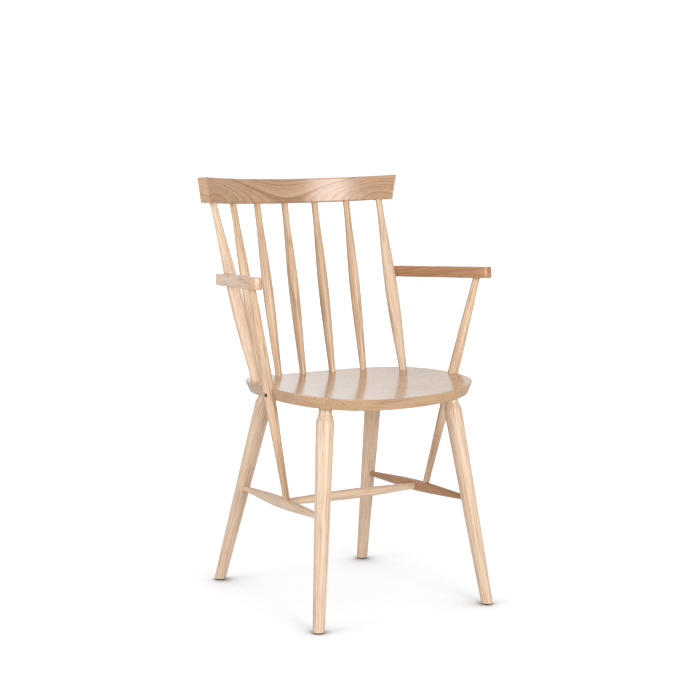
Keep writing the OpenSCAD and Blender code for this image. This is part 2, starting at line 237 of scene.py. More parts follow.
@dataclass(frozen=True)
class BeechFinish:
    """Steamed beech under a clear satin lacquer."""

    name: str
    pale: Colour
    warm: Colour
    dark: Colour
    ring_gap: float
    pith: tuple[float, float]
    ring_share: float = 0.4
    broad_share: float = 0.5
    fleck_share: float = 0.45
    line_share: float = 0.5
    waviness: float = 0.004
    roughness: tuple[float, float] = (0.36, 0.5)
    coat: float = 0.3
    coat_roughness: float = 0.28
    relief: float = 0.12

    def make(self, piece: str, grain: Grain) -> bpy.types.Material:
        """Builds the finish for one piece.

        Args:
            piece: The piece's name.
            grain: Where its grain lies.

        Returns:
            The material.
        """
        material = bpy.data.materials.new(f"{self.name}_{piece}")
        material.use_nodes = True
        graph = Graph(material.node_tree)
        location, rotation = grain.placement()
        place = graph.add(
            "ShaderNodeMapping",
            {
                "Vector": graph.add("ShaderNodeTexCoord").outputs["Object"],
                "Location": location,
                "Rotation": rotation,
            },
            vector_type="TEXTURE",
        ).outputs[0]
        fibre = self._layer(graph, place, FIBRES, 3.0, 0.6)
        streak = self._layer(graph, place, STREAKS)
        broad = self._layer(graph, place, BROAD_BANDS)
        rings = self._rings(graph, place)
        flecks = self._flecks(graph, place)

        tone = graph.math(
            "ADD",
            graph.math("MULTIPLY", rings, self.ring_share),
            graph.math(
                "ADD",
                graph.math("MULTIPLY", graph.spread(broad, 0.3, 0.7), self.broad_share * 0.5),
                graph.math("MULTIPLY", graph.spread(streak, 0.3, 0.72), self.broad_share * 0.5),
            ),
            clamp=True,
        )
        colour = graph.blend(tone, srgb(*self.pale), srgb(*self.warm))
        lines = graph.spread(self._layer(graph, place, LINES), 0.5, 0.64)
        colour = graph.blend(graph.math("MULTIPLY", lines, self.line_share), colour, srgb(*self.dark))
        colour = graph.blend(graph.math("MULTIPLY", flecks, self.fleck_share), colour, srgb(*self.dark))
        shade = graph.spread(fibre, 0.25, 0.75, 0.9, 1.06)
        grey = graph.add("ShaderNodeCombineXYZ", {0: shade, 1: shade, 2: shade}).outputs[0]
        colour = graph.blend(1.0, colour, grey, "MULTIPLY")

        height = graph.math("SUBTRACT", fibre, graph.math("MULTIPLY", flecks, 0.8))
        bump = graph.add("ShaderNodeBump", {"Strength": self.relief, "Distance": 0.0004, "Height": height})
        dull = graph.math("ADD", fibre, graph.math("MULTIPLY", flecks, 0.5))
        gloss = graph.spread(dull, 0.3, 1.1, *self.roughness)
        shader = graph.add(
            "ShaderNodeBsdfPrincipled",
            {"Base Color": colour, "Roughness": gloss, "Normal": bump.outputs[0]},
        )
        shader.inputs["IOR"].default_value = 1.5
        shader.inputs["Coat Weight"].default_value = self.coat
        shader.inputs["Coat Roughness"].default_value = self.coat_roughness
        graph.add("ShaderNodeOutputMaterial", {"Surface": shader.outputs[0]})
        return material

    @staticmethod
    def _layer(
        graph: Graph,
        place: bpy.types.NodeSocket,
        layer: tuple[float, float],
        detail: float = 2.0,
        roughness: float = 0.5,
    ) -> bpy.types.NodeSocket:
        """Adds one layer of noise that is drawn out along the grain.

        Args:
            graph: The material's nodes.
            place: The piece's own coordinates.
            layer: Features per metre, and how they are squeezed along the grain.
            detail: Octaves.
            roughness: Weight of the fine octaves.

        Returns:
            The noise's socket.
        """
        scale, squeeze = layer
        return graph.noise(graph.vector("MULTIPLY", place, (1.0, 1.0, squeeze)), scale, detail, roughness)

    def _rings(self, graph: Graph, place: bpy.types.NodeSocket) -> bpy.types.NodeSocket:
        """Adds the growth rings.

        Args:
            graph: The material's nodes.
            place: The piece's own coordinates.

        Returns:
            The latewood's share, 0 to 1.
        """
        scale, squeeze = WANDER
        drawn = graph.vector("MULTIPLY", place, (1.0, 1.0, squeeze))
        wander = graph.add(
            "ShaderNodeTexNoise",
            {"Vector": drawn, "Scale": scale, "Detail": 2.0, "Roughness": 0.45},
        ).outputs[1]
        either_way = graph.vector("SUBTRACT", wander, (0.5, 0.5, 0.5))
        sway = graph.vector("MULTIPLY", either_way, (self.waviness * 4, self.waviness * 4, 0.0))
        apart = graph.add("ShaderNodeSeparateXYZ", {0: graph.vector("ADD", place, sway)})
        across = graph.math("SUBTRACT", apart.outputs[0], self.pith[0])
        deep = graph.math("SUBTRACT", apart.outputs[1], self.pith[1])
        squares = [graph.math("MULTIPLY", part, part) for part in (across, deep)]
        away = graph.math("SQRT", graph.math("ADD", *squares))
        count = graph.math("DIVIDE", away, self.ring_gap)
        years = graph.noise(graph.add("ShaderNodeCombineXYZ", {0: away}).outputs[0], 0.55 / self.ring_gap, 2.0)
        turn = graph.math("FRACT", graph.math("ADD", count, graph.math("MULTIPLY", years, 2.4)))
        rise = graph.math("POWER", turn, 2.2)
        fall = graph.spread(turn, 0.93, 1.0, 1.0, 0.0)
        return graph.math("MULTIPLY", graph.math("MULTIPLY", rise, fall), graph.spread(years, 0.3, 0.65, 0.45, 1.1))

    def _flecks(self, graph: Graph, place: bpy.types.NodeSocket) -> bpy.types.NodeSocket:
        """Adds beech's short dark ray flecks.

        Args:
            graph: The material's nodes.
            place: The piece's own coordinates.

        Returns:
            The flecks' share, 0 to 1.
        """
        scale, squeeze = FLECK_CELLS
        drawn = graph.vector("MULTIPLY", place, (1.0, 1.0, squeeze))
        cells = graph.add("ShaderNodeTexVoronoi", {"Vector": drawn, "Scale": scale, "Randomness": 1.0})
        near = graph.spread(cells.outputs["Distance"], 0.16, 0.34, 1.0, 0.0)
        some = graph.spread(graph.noise(place, FLECK_PATCHES, 1.0), 0.48, 0.6)
        return graph.math("MULTIPLY", near, some)


@dataclass(frozen=True)
class PlainFinish:
    """Zinc-plated steel or moulded plastic: one colour with fine wear."""

    name: str
    light: Colour
    worn: Colour
    metallic: float
    roughness: tuple[float, float]
    speck: float

    def make(self) -> bpy.types.Material:
        """Builds the finish.

        Returns:
            The material.
        """
        material = bpy.data.materials.new(self.name)
        material.use_nodes = True
        graph = Graph(material.node_tree)
        place = graph.add("ShaderNodeTexCoord").outputs["Object"]
        grains = graph.noise(place, self.speck, 4.0, 0.65)
        clouds = graph.noise(place, self.speck / 12, 2.0)
        share = graph.spread(graph.math("MULTIPLY", grains, graph.math("ADD", clouds, 0.5)), 0.3, 0.75)
        colour = graph.blend(share, srgb(*self.light), srgb(*self.worn))
        bump = graph.add("ShaderNodeBump", {"Strength": 0.15, "Distance": 0.0002, "Height": grains})
        shader = graph.add(
            "ShaderNodeBsdfPrincipled",
            {
                "Base Color": colour,
                "Roughness": graph.spread(grains, 0.3, 0.7, *self.roughness),
                "Normal": bump.outputs[0],
            },
        )
        shader.inputs["Metallic"].default_value = self.metallic
        graph.add("ShaderNodeOutputMaterial", {"Surface": shader.outputs[0]})
        return material


STICK_BEECH = BeechFinish(
    name="stick_beech",
    pale=(230, 203, 172),
    warm=(194, 153, 116),
    dark=(146, 102, 68),
    ring_gap=0.0034,
    pith=(0.062, 0.018),
    ring_share=0.75,
    broad_share=0.6,
)
LEG_BEECH = BeechFinish(
    name="leg_beech",
    pale=(229, 204, 177),
    warm=(213, 180, 150),
    dark=(170, 128, 96),
    ring_gap=0.0042,
    pith=(0.07, 0.024),
)
SEAT_BEECH = BeechFinish(
    name="seat_beech",
    pale=(202, 168, 132),
    warm=(180, 139, 101),
    dark=(126, 84, 52),
    ring_gap=0.0026,
    pith=(0.02, -0.62),
    ring_share=0.6,
    line_share=0.35,
    waviness=0.003,
    roughness=(0.2, 0.3),
    coat=0.4,
    coat_roughness=0.1,
)
CREST_BEECH = BeechFinish(
    name="crest_beech",
    pale=(202, 166, 134),
    warm=(154, 113, 80),
    dark=(120, 82, 54),
    ring_gap=0.0058,
    pith=(0.0, 0.0),
    ring_share=0.8,
    broad_share=0.3,
    line_share=0.15,
    fleck_share=0.3,
    waviness=0.0026,
    roughness=(0.28, 0.4),
    coat=0.28,
    coat_roughness=0.2,
)
ARM_BEECH = BeechFinish(
    name="arm_beech",
    pale=(218, 182, 150),
    warm=(186, 142, 108),
    dark=(134, 94, 62),
    ring_gap=0.0052,
    pith=(0.034, 0.03),
    ring_share=0.6,
    roughness=(0.28, 0.4),
    coat=0.3,
    coat_roughness=0.18,
)
RUDDY_ARM_BEECH = replace(ARM_BEECH, name="ruddy_arm_beech", pale=(196, 148, 108), warm=(160, 108, 70))
RUDDY_STICK_BEECH = replace(STICK_BEECH, name="ruddy_stick_beech", pale=(198, 152, 114), warm=(158, 110, 76))
SCREW_STEEL = PlainFinish("zinc_steel", (120, 116, 108), (70, 66, 60), 1.0, (0.3, 0.5), 2600.0)
GLIDE_PLASTIC = PlainFinish("glide_plastic", (72, 64, 56), (52, 46, 40), 0.0, (0.5, 0.65), 1800.0)


# ---------------------------------------------------------------- reading the frame

# Cosines between directions, for telling a block's faces apart.
FACES_UP = 0.9
SAME_WAY = 0.9995
SQUARE_TO = 0.05

# For telling the rings of a turned solid apart: the fewest points, the spread and the gap along the axis.
RING_POINTS = 40
RING_SPREAD = 1.2e-5
RING_GAP = 4e-4
LEVER = 0.05  # a length in metres that weighs the faces' turn against their place
FIT_ROUNDS = 6


def points_of(node: str) -> np.ndarray:
    """Reads a CAD node's vertices, in metres."""
    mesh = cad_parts[node].data
    flat = np.zeros(len(mesh.vertices) * 3, np.float32)
    mesh.vertices.foreach_get("co", flat)
    return flat.reshape(-1, 3).astype(float)


def faces_of(node: str) -> tuple[np.ndarray, np.ndarray, np.ndarray]:
    """Reads a CAD node's faces.

    Args:
        node: The CAD node's name.

    Returns:
        The faces' centres, normals and areas.
    """
    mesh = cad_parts[node].data
    count = len(mesh.polygons)
    centres, normals = np.zeros(count * 3, np.float32), np.zeros(count * 3, np.float32)
    areas = np.zeros(count, np.float32)
    mesh.polygons.foreach_get("center", centres)
    mesh.polygons.foreach_get("normal", normals)
    mesh.polygons.foreach_get("area", areas)
    return centres.reshape(-1, 3).astype(float), normals.reshape(-1, 3).astype(float), areas.astype(float)


@dataclass(frozen=True)
class Lathe:
    """A turned piece as read from its CAD solid: its axis, and its radius at each ring along it."""

    start: Vector
    way: Vector
    stations: tuple[tuple[float, float], ...]

    @classmethod
    def read(cls, node: str, sole: float | None = None) -> Lathe:
        """Finds the axis that every face of a turned solid looks through, and the rings' radii.

        Args:
            node: The CAD node's name.
            sole: Height of the flat underside of a foot, if the piece has one.

        Returns:
            The lathe's axis and stations.
        """
        centres, normals, areas = faces_of(node)
        middle = np.average(centres, axis=0, weights=areas)
        arms = centres - middle
        rows = np.hstack([np.cross(arms, normals), normals * LEVER])
        weights = np.sqrt(areas)
        keep = np.ones(len(rows), bool)
        line = np.zeros(6)
        for _ in range(FIT_ROUNDS):
            line = np.linalg.svd(rows[keep] * weights[keep, None], full_matrices=False)[2][-1]
            line /= np.linalg.norm(line[:3])
            miss = np.abs(rows @ line)
            keep = miss < max(2e-5, 1.5 * np.median(miss[keep]))
        way, moment = line[:3], line[3:] * LEVER
        way = way if way[2] > 0 or (abs(way[2]) < 0.2 and way[1] < 0) else -way
        moment = moment if np.dot(way, line[:3]) > 0 else -moment
        on_axis = middle + np.cross(way, moment)
        points = points_of(node) - on_axis
        along = points @ way
        radii = np.linalg.norm(points - np.outer(along, way), axis=1)
        rings: list[tuple[float, float]] = []
        for key in np.unique(np.round(along, 5)):
            here = np.abs(along - key) < RING_SPREAD
            if here.sum() >= RING_POINTS and (not rings or key - rings[-1][0] > RING_GAP):
                rings.append((float(key), float(np.quantile(radii[here], 0.9))))
        usual = float(np.median([r for _, r in rings]))
        rings = [r for r in rings if r[1] > usual / 3]
        if sole is not None:
            on_sole = np.abs(points[:, 2] + on_axis[2] - sole) < 2e-5
            foot = float(along[on_sole].min()) - 0.002
            rings = [r for r in rings if r[0] > along[on_sole].max()]
            rings.insert(0, (foot, float(np.quantile(radii[on_sole], 0.97))))
        return cls(Vector(on_axis), Vector(way), tuple(rings))

    def at(self, along: float) -> Vector:
        """Gives the point on the axis at a distance along it."""
        return self.start + self.way * along

    def middle(self) -> Vector:
        """Gives the middle of the axis."""
        return self.at((self.stations[0][0] + self.stations[-1][0]) / 2)


@dataclass(frozen=True)
class Block:
    """A straight block as read from its CAD solid: its middle, three directions and half sizes."""

    middle: Vector
    ahead: Vector
    outward: Vector
    up: Vector
    half: tuple[float, float, float]

    @classmethod
    def read(cls, node: str) -> Block:
        """Finds a block's directions from its two largest kinds of face.

        Args:
            node: The CAD node's name.

        Returns:
            The block.
        """
        _, normals, areas = faces_of(node)
        flat = normals[:, 2] > FACES_UP
        up = (normals[flat] * areas[flat, None]).sum(axis=0)
        up /= np.linalg.norm(up)
        upright = np.abs(normals @ up) < SQUARE_TO
        alike = (normals @ normals.T) > SAME_WAY
        best = int(np.argmax(np.where(upright, alike @ areas, 0.0)))
        side = (normals[alike[best]] * areas[alike[best], None]).sum(axis=0)
        side -= up * np.dot(side, up)
        side /= np.linalg.norm(side)
        ahead = np.cross(side, up)
        ahead = ahead if ahead[1] < 0 else -ahead
        side = np.cross(up, ahead)
        axes = np.stack([ahead, side, up])
        reach = points_of(node) @ axes.T
        low, high = reach.min(axis=0), reach.max(axis=0)
        centre = axes.T @ ((low + high) / 2)
        return cls(Vector(centre), Vector(ahead), Vector(side), Vector(up), tuple(float(v) for v in (high - low) / 2))


# ---------------------------------------------------------------- geometry


class TurnedPieceTree:
    """The Geometry Nodes tree that turns a line with a radius at each of its points into a turned piece."""

    def __init__(self) -> None:
        """Builds the tree once, for all turned pieces."""
        self.tree = bpy.data.node_groups.new("turned_piece", "GeometryNodeTree")
        face = self.tree.interface
        face.new_socket("Geometry", in_out="INPUT", socket_type="NodeSocketGeometry")
        self.sockets = {
            name: face.new_socket(name, in_out="INPUT", socket_type=kind).identifier
            for name, kind in (
                ("Sides", "NodeSocketInt"),
                ("Sole Height", "NodeSocketFloat"),
                ("Axis", "NodeSocketVector"),
                ("Finish", "NodeSocketMaterial"),
            )
        }
        face.new_socket("Geometry", in_out="OUTPUT", socket_type="NodeSocketGeometry")
        graph = Graph(self.tree)
        given = graph.add("NodeGroupInput").outputs
        line = graph.add("GeometryNodeMeshToCurve", {"Mesh": given["Geometry"]}).outputs[0]
        radius = graph.add("GeometryNodeInputNamedAttribute", {"Name": "radius"}, data_type="FLOAT").outputs[0]
        ring = graph.add("GeometryNodeCurvePrimitiveCircle", {"Resolution": given["Sides"], "Radius": 1.0}).outputs[0]
        skin = graph.add(
            "GeometryNodeCurveToMesh",
            {"Curve": line, "Profile Curve": ring, "Scale": radius, "Fill Caps": True},
        ).outputs[0]
        place = graph.add("GeometryNodeInputPosition").outputs[0]
        height = graph.add("ShaderNodeSeparateXYZ", {0: place}).outputs[2]
        rise = graph.add("ShaderNodeSeparateXYZ", {0: given["Axis"]}).outputs[2]
        short = graph.math("MAXIMUM", graph.math("SUBTRACT", given["Sole Height"], height), 0.0)
        lift = graph.add(
            "ShaderNodeVectorMath",
            {0: given["Axis"], "Scale": graph.math("DIVIDE", short, graph.math("MAXIMUM", rise, 0.1))},
            operation="SCALE",
        ).outputs[0]
        stood = graph.add("GeometryNodeSetPosition", {"Geometry": skin, "Offset": lift}).outputs[0]
        joined = graph.add("GeometryNodeMergeByDistance", {"Geometry": stood, "Distance": 1e-6}).outputs[0]
        smooth = graph.add("GeometryNodeSetShadeSmooth", {"Geometry": joined, "Shade Smooth": True}).outputs[0]
        real = graph.add("GeometryNodeRealizeInstances", {"Geometry": smooth}).outputs[0]
        dressed = graph.add("GeometryNodeSetMaterial", {"Geometry": real, "Material": given["Finish"]}).outputs[0]
        graph.add("NodeGroupOutput", {"Geometry": dressed})

    def turn(
        self, name: str, lathe: Lathe, finish: bpy.types.Material, sides: int = 64, sole: float = NO_SOLE
    ) -> bpy.types.Object:
        """Turns one piece.

        Args:
            name: The new piece's name.
            lathe: Its axis and radii.
            finish: Its material.
            sides: Faces round it.
            sole: Height of its flat underside, if it stands on one.

        Returns:
            The piece, as a plain mesh at the origin.
        """
        mesh = bpy.data.meshes.new(f"{name}_line")
        points = [lathe.at(along) for along, _ in lathe.stations]
        mesh.from_pydata(points, [(i, i + 1) for i in range(len(points) - 1)], [])
        mesh.attributes.new("radius", "FLOAT", "POINT").data.foreach_set("value", [r for _, r in lathe.stations])
        line = bpy.data.objects.new(f"{name}_line", mesh)
        bpy.context.scene.collection.objects.link(line)
        modifier = line.modifiers.new("turn", "NODES")
        modifier.node_group = self.tree
        modifier[self.sockets["Sides"]] = sides
        modifier[self.sockets["Sole Height"]] = sole
        modifier[self.sockets["Axis"]] = lathe.way
        modifier[self.sockets["Finish"]] = finish
        return realised(name, line, finish)


def realised(name: str, source: bpy.types.Object, finish: bpy.types.Material) -> bpy.types.Object:
    """Replaces an object by a plain mesh of its evaluated shape.

    Args:
        name: The new piece's name.
        source: The object with its modifiers, which is removed.
        finish: The piece's material.

    Returns:
        The plain piece at the origin.
    """
    bpy.context.view_layer.update()
    graph = bpy.context.evaluated_depsgraph_get()
    mesh = bpy.data.meshes.new_from_object(source.evaluated_get(graph))
    mesh.name = name
    bpy.data.objects.remove(source)
    if not mesh.materials:
        mesh.materials.append(finish)
    shell = bmesh.new()
    shell.from_mesh(mesh)
    if shell.calc_volume(signed=True) < 0:
        bmesh.ops.reverse_faces(shell, faces=shell.faces[:])
        shell.to_mesh(mesh)
    shell.free()
    piece = bpy.data.objects.new(name, mesh)
    bpy.context.scene.collection.objects.link(piece)
    return piece


def skinned(name: str, rings: list[list[Vector]], finish: bpy.types.Material) -> bpy.types.Object:
    """Makes a closed smooth shell from rings, with a point at both ends.

    Args:
        name: The piece's name.
        rings: Closed rings of the same number of points, from the first pole's side to the last's.
        finish: The piece's material.

    Returns:
        The piece at the origin, with outward faces.
    """
    sides = len(rings[0])
    points = [p for ring in rings for p in ring]
    faces: list[tuple[int, ...]] = []
    for k in range(len(rings) - 1):
        for i in range(sides):
            j = (i + 1) % sides
            faces.append((k * sides + i, k * sides + j, (k + 1) * sides + j, (k + 1) * sides + i))
    for ring, flip in ((0, True), (len(rings) - 1, False)):
        pole = len(points)
        points.append(sum(rings[ring], Vector()) / sides)
        for i in range(sides):
            j = (i + 1) % sides
            pair = (ring * sides + j, ring * sides + i) if flip else (ring * sides + i, ring * sides + j)
            faces.append((*pair, pole))
    mesh = bpy.data.meshes.new(name)
    mesh.from_pydata(points, [], faces)
    shell = bmesh.new()
    shell.from_mesh(mesh)
    bmesh.ops.remove_doubles(shell, verts=shell.verts[:], dist=1e-6)
    bmesh.ops.recalc_face_normals(shell, faces=shell.faces[:])
    for face in shell.faces:
        face.smooth = True
    shell.to_mesh(mesh)
    shell.free()
    mesh.materials.append(finish)
    piece = bpy.data.objects.new(name, mesh)
    bpy.context.scene.collection.objects.link(piece)
    return piece


def fillet(corner: Pair, before: Pair, after: Pair, radius: float, steps: int) -> list[Pair]:
    """Rounds one corner of a section.

    Args:
        corner: The sharp corner.
        before: The point the section comes from.
        after: The point it goes to.
        radius: The rounding's radius.
        steps: Segments of the arc.

    Returns:
        The arc's points, in order.
    """
    c, a, b = Vector(corner), Vector(before), Vector(after)
    u, v = (a - c).normalized(), (b - c).normalized()
    half = math.acos(max(-1.0, min(1.0, u.dot(v)))) / 2
    centre = c + (u + v).normalized() * radius / math.sin(half)
    start = (c + u * radius / math.tan(half)) - centre
    end = (c + v * radius / math.tan(half)) - centre
    sweep = start.angle_signed(end)
    arc = [centre + Matrix.Rotation(-sweep * k / steps, 2) @ start for k in range(steps + 1)]
    return [(p.x, p.y) for p in arc]


# ---------------------------------------------------------------- sub-assemblies


@dataclass
class Dresser:
    """What every sub-assembly shares: the lathe tree, and how a finished piece joins the frame."""

    lathe_tree: TurnedPieceTree

    def settle(self, piece: bpy.types.Object, node: str, slot: str) -> None:
        """Puts a new piece in the place of its CAD node.

        Args:
            piece: The new piece.
            node: The CAD node it stands for.
            slot: The record's material slot; not used.
        """
        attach(piece, BODY)
        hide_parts(node)
        LOG.info("%s stands for %s with %d faces", piece.name, node, len(piece.data.polygons))

    def dress(self, node: str, finish: bpy.types.Material) -> None:
        """Gives a CAD node a finish on its own material slots.

        Args:
            node: The CAD node's name.
            finish: The material.
        """
        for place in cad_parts[node].material_slots:
            place.material = finish
        LOG.info("%s wears %s", node, finish.name)

    def turned(self, node: str, slot: str, beech: BeechFinish, spin: float, sole: float | None = None) -> None:
        """Turns one stick again from its CAD node.

        Args:
            node: The CAD node's name.
            slot: The record's material slot.
            beech: The finish.
            spin: Which side its growth rings come from, in radians.
            sole: Height of its flat underside, if it stands on one.
        """
        lathe = Lathe.read(node, sole)
        finish = beech.make(node, Grain(lathe.middle(), lathe.way, spin))
        piece = self.lathe_tree.turn(f"turned_{node}", lathe, finish, sole=NO_SOLE if sole is None else sole)
        self.settle(piece, node, slot)


@dataclass
class Underframe(Dresser):
    """Four legs, three stretchers and the glides under the feet."""

    sole: float = 3 * MM
    glide_edge: float = 0.8 * MM

    def build(self) -> None:
        """Builds every piece below the seat."""
        plastic = GLIDE_PLASTIC.make()
        for k, row in enumerate(("front", "rear")):
            for j, side in enumerate(Side):
                spin = 0.7 + 1.9 * k + 2.6 * j
                self.turned(f"leg_{row}_{side.word}", "leg_wood", LEG_BEECH, spin, self.sole)
                self.glide(f"foot_glide_{row}_{side.word}", plastic)
        self.turned("side_stretcher_left", "stretcher_wood", RUDDY_STICK_BEECH, 2.1)
        self.turned("side_stretcher_right", "stretcher_wood", LEG_BEECH, 4.4)
        self.turned("cross_stretcher", "stretcher_wood", LEG_BEECH, 0.4)

    def glide(self, node: str, plastic: bpy.types.Material) -> None:
        """Makes one foot glide with a rounded lower edge. Its nail is out of sight in the leg.

        Args:
            node: The CAD node's name.
            plastic: The glides' material.
        """
        foot = points_of(node)
        flat = foot[np.abs(foot[:, 2]) < 1e-5]
        centre = (flat.min(axis=0) + flat.max(axis=0)) / 2
        radius = float(np.linalg.norm(flat - centre, axis=1).max())
        edge = self.glide_edge
        arc = [
            (edge * (1 - math.cos(t)), radius - edge + edge * math.sin(t))
            for t in (math.radians(15 * k) for k in range(7))
        ]
        stations = (*arc, (self.sole - 0.3 * MM, radius), (self.sole, radius - 0.3 * MM))
        lathe = Lathe(Vector(centre), Vector((0, 0, 1)), stations)
        piece = self.lathe_tree.turn(f"domed_{node}", lathe, plastic, sides=48)
        self.settle(piece, node, "glide_plastic")


@dataclass
class SeatBoard(Dresser):
    """The dished seat with its slanted edge."""

    front_share: float = 172 / 424
    dish: float = 1440 * MM
    thick: float = 23 * MM
    bevel: float = 10 * MM
    front_power: float = 3.2
    back_power: float = 2.25
    upper_edge: float = 1.6 * MM
    lower_edge: float = 2.0 * MM
    sides: int = 288
    shares: tuple[float, ...] = field(default=(0.04, 0.1, 0.2, 0.3, 0.4, 0.5, 0.6, 0.7, 0.8, 0.88, 0.95, 0.985))

    def build(self) -> None:
        """Builds the seat from rings, top face first."""
        low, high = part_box("seat")
        self.width = high.x - low.x
        self.front = (high.y - low.y) * self.front_share
        self.back = (high.y - low.y) - self.front
        self.widest = low.y + self.front
        self.floor = low.z + self.thick
        angles = [2 * math.pi * i / self.sides for i in range(self.sides)]
        section = self._section()
        rings = [[self._face(a, share, 0.0) for a in angles] for share in self.shares]
        rings += [[self._rim(a, inset, drop) for a in angles] for inset, drop in section]
        rings += [[self._face(a, share, self.thick) for a in angles] for share in reversed(self.shares)]
        finish = SEAT_BEECH.make("seat", Grain(Vector((0.0, self.widest, self.floor)), Vector((1.0, 0.0, 0.0)), 0.0))
        piece = skinned("dished_seat", rings, finish)
        self.settle(piece, "seat", "seat_board")

    def _outline(self, angle: float) -> tuple[Vector, Vector]:
        """Gives a point of the outline and its outward normal, in plan from the widest line."""
        c, s = math.cos(angle), math.sin(angle)
        depth, power = (self.front, self.front_power) if s < 0 else (self.back, self.back_power)
        point = Vector(
            (
                self.width / 2 * math.copysign(abs(c) ** (2 / power), c),
                depth * math.copysign(abs(s) ** (2 / power), s),
            )
        )
        normal = Vector(
            (
                math.copysign(abs(c) ** (2 - 2 / power), c) / (self.width / 2),
                math.copysign(abs(s) ** (2 - 2 / power), s) / depth,
            )
        )
        return point, normal.normalized()

    def _top(self, x: float) -> float:
        """Gives the top face's height at a distance from the centre line."""
        return self.floor + self.dish - math.sqrt(self.dish**2 - x * x)

    def _under(self, x: float) -> float:
        """Gives the underside's height at a distance from the centre line."""
        return self.floor + self.dish - math.sqrt((self.dish + self.thick) ** 2 - x * x)

    def _face(self, angle: float, share: float, drop: float) -> Vector:
        """Gives a point of the top face, or of the underside where drop isn't zero."""
        point, normal = self._outline(angle)
        if drop:
            point = point - normal * self.bevel
            point = point * share
            return Vector((point.x, point.y + self.widest, self._under(point.x)))
        point = point * share
        return Vector((point.x, point.y + self.widest, self._top(point.x)))

    def _section(self) -> list[tuple[float, float]]:
        """Works out the edge's section, as insets from the outline and drops below the top face."""
        inward = 20 * MM
        foot = (self.bevel, self.thick)
        upper = fillet((0.0, 0.0), (inward, 0.0), foot, self.upper_edge, 6)
        lower = fillet(foot, (0.0, 0.0), (self.bevel + inward, self.thick), self.lower_edge, 6)
        return upper + lower

    def _rim(self, angle: float, inset: float, drop: float) -> Vector:
        """Gives a point of the edge."""
        point, normal = self._outline(angle)
        inner = point - normal * inset
        share = min(1.0, drop / self.thick)
        height = self._top(inner.x) * (1 - share) + self._under(inner.x) * share
        return Vector((inner.x, inner.y + self.widest, height))


@dataclass
class Back(Dresser):
    """Two back posts, five spindles and the crest rail."""

    pith_height: float = 5 * MM
    pith_depth_share: float = 0.16
    sticks: tuple[str, ...] = (
        "back_post_left",
        "spindle_far_left",
        "spindle_near_left",
        "spindle_centre",
        "spindle_near_right",
        "spindle_far_right",
        "back_post_right",
    )

    def build(self) -> None:
        """Builds the back."""
        for k, node in enumerate(self.sticks):
            self.turned(node, "stick_wood", LEG_BEECH if "post" in node else STICK_BEECH, 0.3 + 1.3 * k)
        low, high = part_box("crest_rail")
        pith = Vector((0.0, low.y + (high.y - low.y) * self.pith_depth_share, low.z + self.pith_height))
        self.dress("crest_rail", CREST_BEECH.make("crest_rail", Grain(pith, Vector((1.0, 0.0, 0.0)), 0.0)))


@dataclass
class Arms(Dresser):
    """The armrests, their posts and the hidden dowels."""

    edge: float = 1.6 * MM
    corner: float = 10 * MM

    def build(self) -> None:
        """Builds both arms."""
        for k, side in enumerate(Side):
            self.armrest(f"armrest_{side.word}", side)
            node = f"arm_post_{side.word}"
            lathe = Lathe.read(node)
            self.dress(node, STICK_BEECH.make(node, Grain(lathe.middle(), lathe.way, 0.9 + 2.2 * k)))
        self.dress("armrest_dowels", STICK_BEECH.make("armrest_dowels", Grain(Vector(), Vector((1.0, 0.0, 0.0)))))

    def armrest(self, node: str, side: Side) -> None:
        """Makes one armrest with eased edges.

        Args:
            node: The CAD node's name.
            side: The sitter's side that it is on.
        """
        block = Block.read(node)
        rings = []
        for inset, height in self._section(block.half[2]):
            level = block.middle + block.up * height
            rings.append([level + block.ahead * p.x + block.outward * p.y for p in self._outline(block, inset)])
        way = (block.ahead + block.up * 0.06 + block.outward * 0.05 * side.value).normalized()
        beech = RUDDY_ARM_BEECH if side is Side.LEFT else ARM_BEECH
        finish = beech.make(node, Grain(block.middle, way, 0.5 * side.value))
        self.settle(skinned(f"eased_{node}", rings, finish), node, "armrest_wood")

    def _section(self, half: float) -> list[tuple[float, float]]:
        """Works out the section's insets and heights, from the top face down to the underside."""
        e = self.edge
        arc = [(e - e * math.sin(t), half - e + e * math.cos(t)) for t in (math.radians(15 * k) for k in range(7))]
        top = [(6 * MM, half), (3 * MM, half)]
        return top + arc + [(i, -h) for i, h in reversed(arc)] + [(i, -h) for i, h in reversed(top)]

    def _outline(self, block: Block, inset: float) -> list[Vector]:
        """Gives the armrest's outline in plan, moved inwards.

        Args:
            block: The armrest's block.
            inset: How far inwards.

        Returns:
            The outline's points, round the block.
        """
        length, width = block.half[0] - inset, block.half[1] - inset
        rounds = ((1, 1, self.corner), (-1, 1, self.edge), (-1, -1, self.edge), (1, -1, self.corner))
        points = []
        for k, (x, y, radius) in enumerate(rounds):
            r = max(radius - inset, 0.05 * MM)
            for step in range(9):
                t = math.radians(90 * k + 90 * step / 8)
                points.append(Vector((x * (length - r) + r * math.cos(t), y * (width - r) + r * math.sin(t))))
        return points


@dataclass
class Fixings(Dresser):
    """The screws through the arm posts."""

    def build(self) -> None:
        """Dresses the screws."""
        self.dress("arm_post_screws", SCREW_STEEL.make())


# ---------------------------------------------------------------- studio


@dataclass(frozen=True)
class Softbox:
    """A large soft lamp."""

    name: str
    place: tuple[float, float, float]
    aim: tuple[float, float, float]
    size: tuple[float, float]
    power: float

    def hang(self) -> None:
        """Adds the lamp to the scene."""
        lamp = bpy.data.lights.new(self.name, "AREA")
        lamp.shape = "RECTANGLE"
        lamp.size, lamp.size_y = self.size
        lamp.energy = self.power
        thing = bpy.data.objects.new(self.name, lamp)
        thing.location = self.place
        thing.rotation_euler = (Vector(self.aim) - Vector(self.place)).to_track_quat("-Z", "Y").to_euler()
        thing.visible_camera = False
        bpy.context.scene.collection.objects.link(thing)


